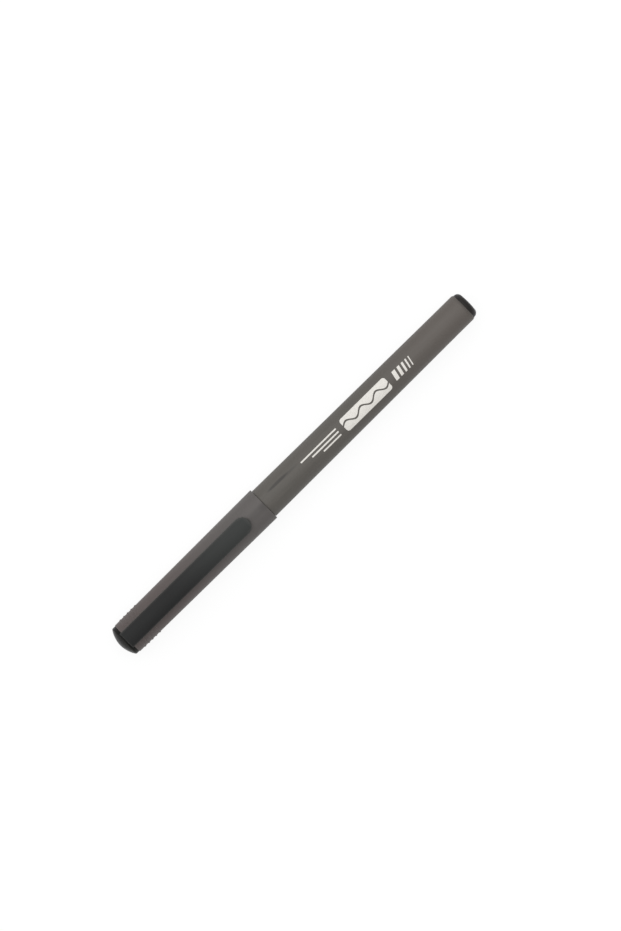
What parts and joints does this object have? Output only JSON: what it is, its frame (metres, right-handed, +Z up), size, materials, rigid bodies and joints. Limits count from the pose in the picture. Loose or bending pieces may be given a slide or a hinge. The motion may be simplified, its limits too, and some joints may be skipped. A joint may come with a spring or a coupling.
{
  "type": "fineliner pen",
  "caption": "Slim round capped fineliner pen with a tapered barrel, pull-off cap with slim pocket clip, seal cup, metal-sleeved nib and fibre ink reservoir.",
  "frame": {"origin": "middle of the pen's length, on the surface it lies on, under its axis", "axes": "+X along the pen from the cap's domed end towards the rear plug, +Z up, with the clip on top"},
  "size_m": [0.14, 0.011, 0.0123],
  "materials": {
    "barrel_plastic": "satin moulded grey polypropylene",
    "cap_plastic": "satin moulded warm grey polypropylene",
    "trim_plastic": "satin moulded black plastic",
    "holder_plastic": "satin moulded black plastic",
    "sleeve_metal": "drawn metal tube",
    "nib_fibre": "ink-soaked capillary rod",
    "reservoir_fibre": "ink-soaked polyester fibre",
    "film": "clear wrapped film",
    "seal_plastic": "natural polyethylene"
  },
  "bodies": {
    "pen": {"barrel": "barrel_plastic", "rear_plug": "trim_plastic", "nib_holder": "holder_plastic", "nib_sleeve": "sleeve_metal", "nib": "nib_fibre", "ink_reservoir": "reservoir_fibre", "reservoir_film": "film"},
    "cap": {"cap_shell": "cap_plastic", "cap_end_plug": "trim_plastic", "inner_cap": "seal_plastic"},
    "clip": {"clip": "trim_plastic"}
  },
  "joints": [
    {"name": "cap_pull", "type": "slide", "parent": "pen", "child": "cap", "axis": [-1, 0, 0], "range_m": [0, 0.04]},
    {"name": "clip_flex", "type": "hinge", "parent": "cap", "child": "clip", "pos_m": [-0.06639, 0, 0.0101], "axis": [0, -1, 0], "range_deg": [0, 3.5], "stiffness_Nm_per_rad": 1}
  ]
}
